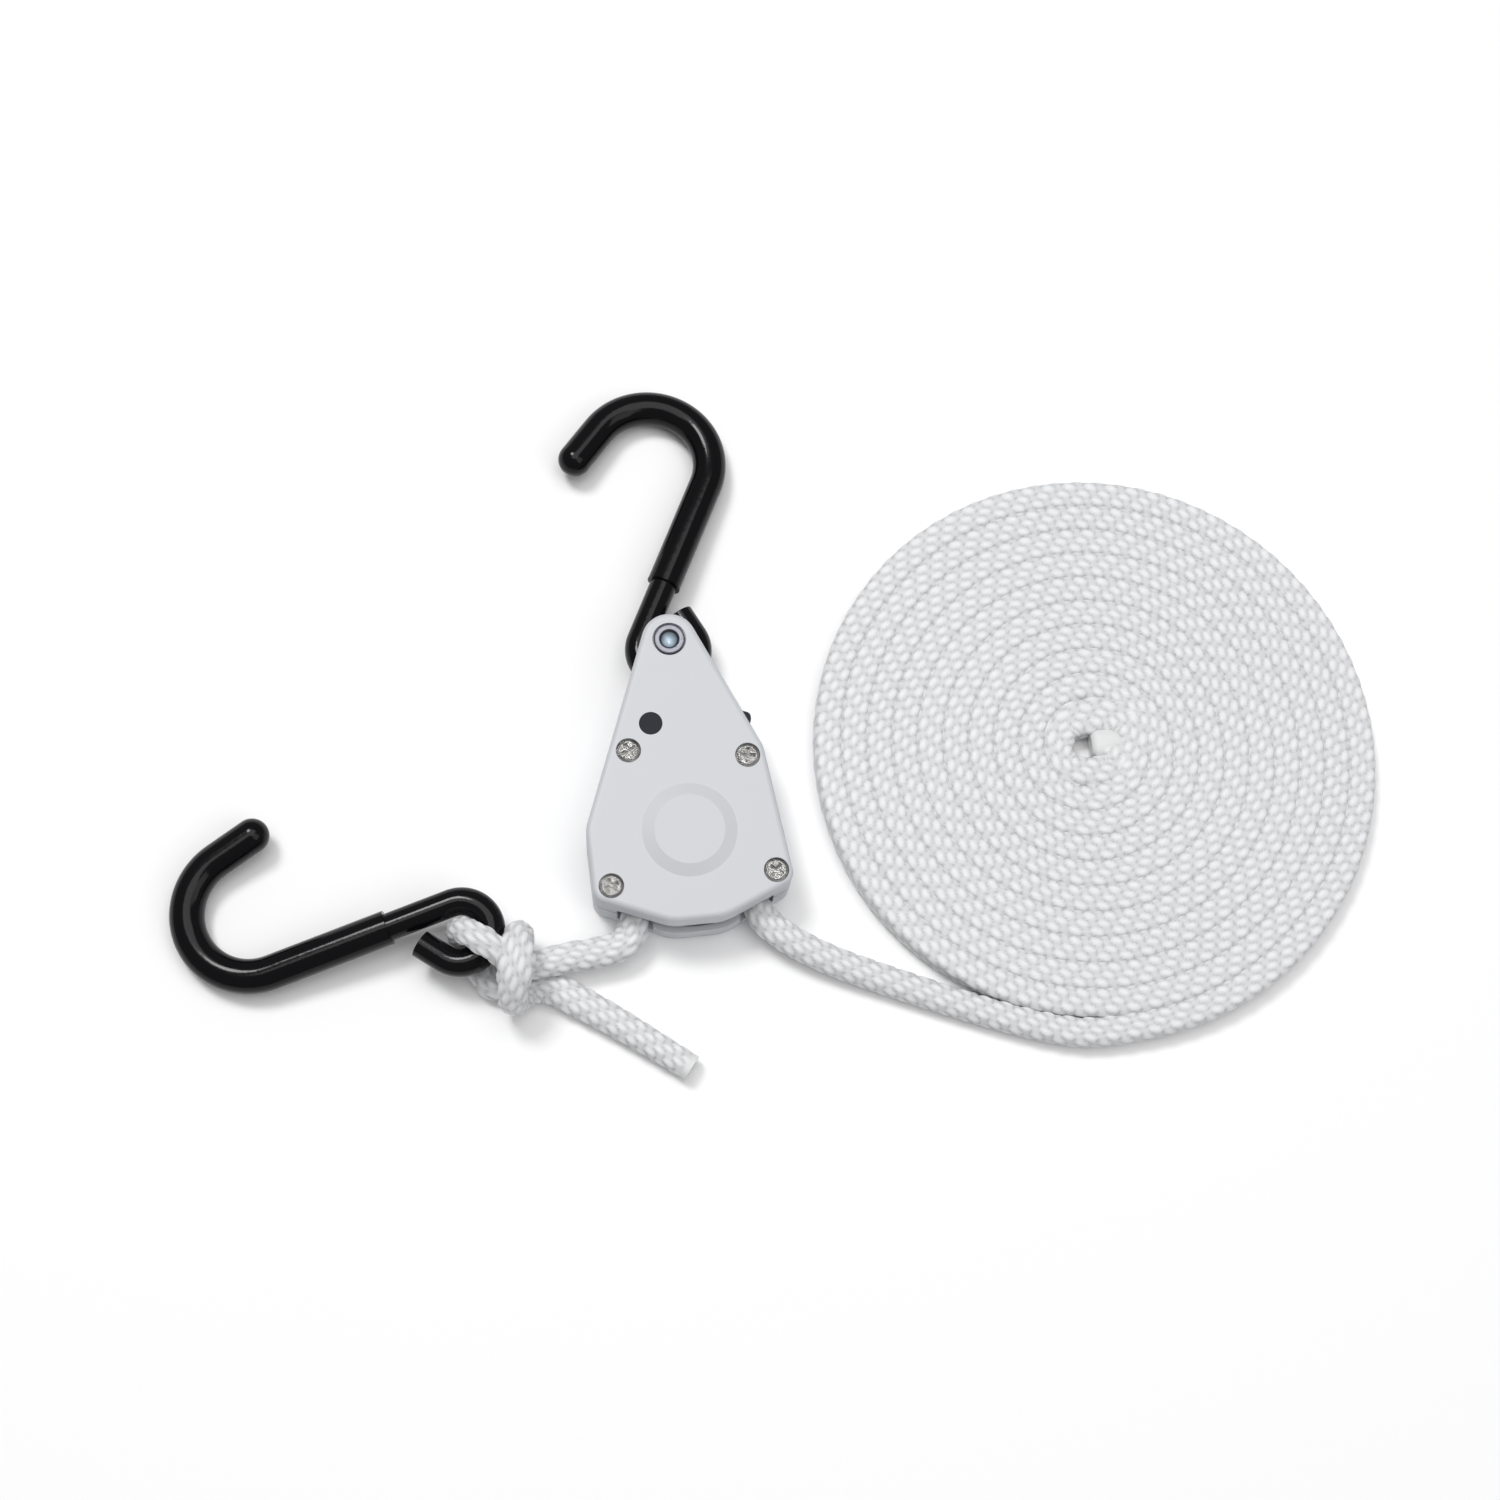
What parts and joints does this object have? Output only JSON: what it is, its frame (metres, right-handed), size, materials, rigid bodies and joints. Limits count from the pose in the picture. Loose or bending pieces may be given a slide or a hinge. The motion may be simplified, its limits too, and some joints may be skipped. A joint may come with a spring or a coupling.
{
  "type": "rope ratchet hanger",
  "caption": "Rope ratchet hanger: pale plastic pulley case with release pawl, two black S-hooks and a white braided rope in a flat coil.",
  "frame": {"origin": "on the flat back face of the case, under the wheel axle", "axes": "+Z out of the case front along the wheel axle, +Y from the wheel axle to the hook rivet, +X towards the coil"},
  "size_m": [0.2793, 0.1658, 0.0207],
  "materials": {
    "case_plastic": "satin moulded plastic, cool pale grey-white",
    "nickel": "bright nickel plate",
    "zinc": "blue-white zinc plate",
    "steel": "plain steel",
    "nylon": "natural nylon",
    "pulley_plastic": "grey nylon",
    "brass": "turned brass",
    "black_plastic": "matt black moulded plastic",
    "black_paint": "gloss black powder coat",
    "vinyl": "gloss black dipped vinyl",
    "rope": "white satin braided polypropylene"
  },
  "bodies": {
    "case": {"back_cover": "case_plastic", "front_cover": "case_plastic", "cover_screws": "nickel", "hook_rivet": "zinc", "rivet_sleeve": "zinc", "wheel_axle": "steel", "axle_washers": "nylon", "pawl_spring": "steel", "rope_over_wheel": "rope", "rope_free": "rope", "rope_coil": "rope", "rope_lead": "rope", "rope_knot": "rope", "rope_tail": "rope"},
    "wheel": {"rope_wheel": "pulley_plastic", "wheel_bush": "brass", "ratchet_ring": "steel"},
    "pawl": {"pawl_lever": "black_plastic"},
    "upper_hook": {"upper_hook_rod": "black_paint", "upper_hook_sleeve": "vinyl"},
    "lower_hook": {"lower_hook_rod": "black_paint", "lower_hook_sleeve": "vinyl"}
  },
  "joints": [
    {"name": "wheel_spin", "type": "hinge", "parent": "case", "child": "wheel", "pos_m": [0, 0, 0.0088], "axis": [0, 0, 1], "continuous": true},
    {"name": "pawl_release", "type": "hinge", "parent": "case", "child": "pawl", "pos_m": [-0.0062, 0.0253, 0.0138], "axis": [0, 0, 1], "range_deg": [0, 8], "stiffness_Nm_per_rad": 0.02, "deforming": ["pawl_spring"]},
    {"name": "upper_hook_swing", "type": "hinge", "parent": "case", "child": "upper_hook", "pos_m": [0, 0.0447, 0.0088], "axis": [0, 0, 1], "range_deg": [-45, 85]},
    {"name": "lower_hook_swing", "type": "hinge", "parent": "case", "child": "lower_hook", "pos_m": [-0.0528, -0.0166, 0.0097], "axis": [0, 0, 1], "range_deg": [-40, 40]}
  ]
}
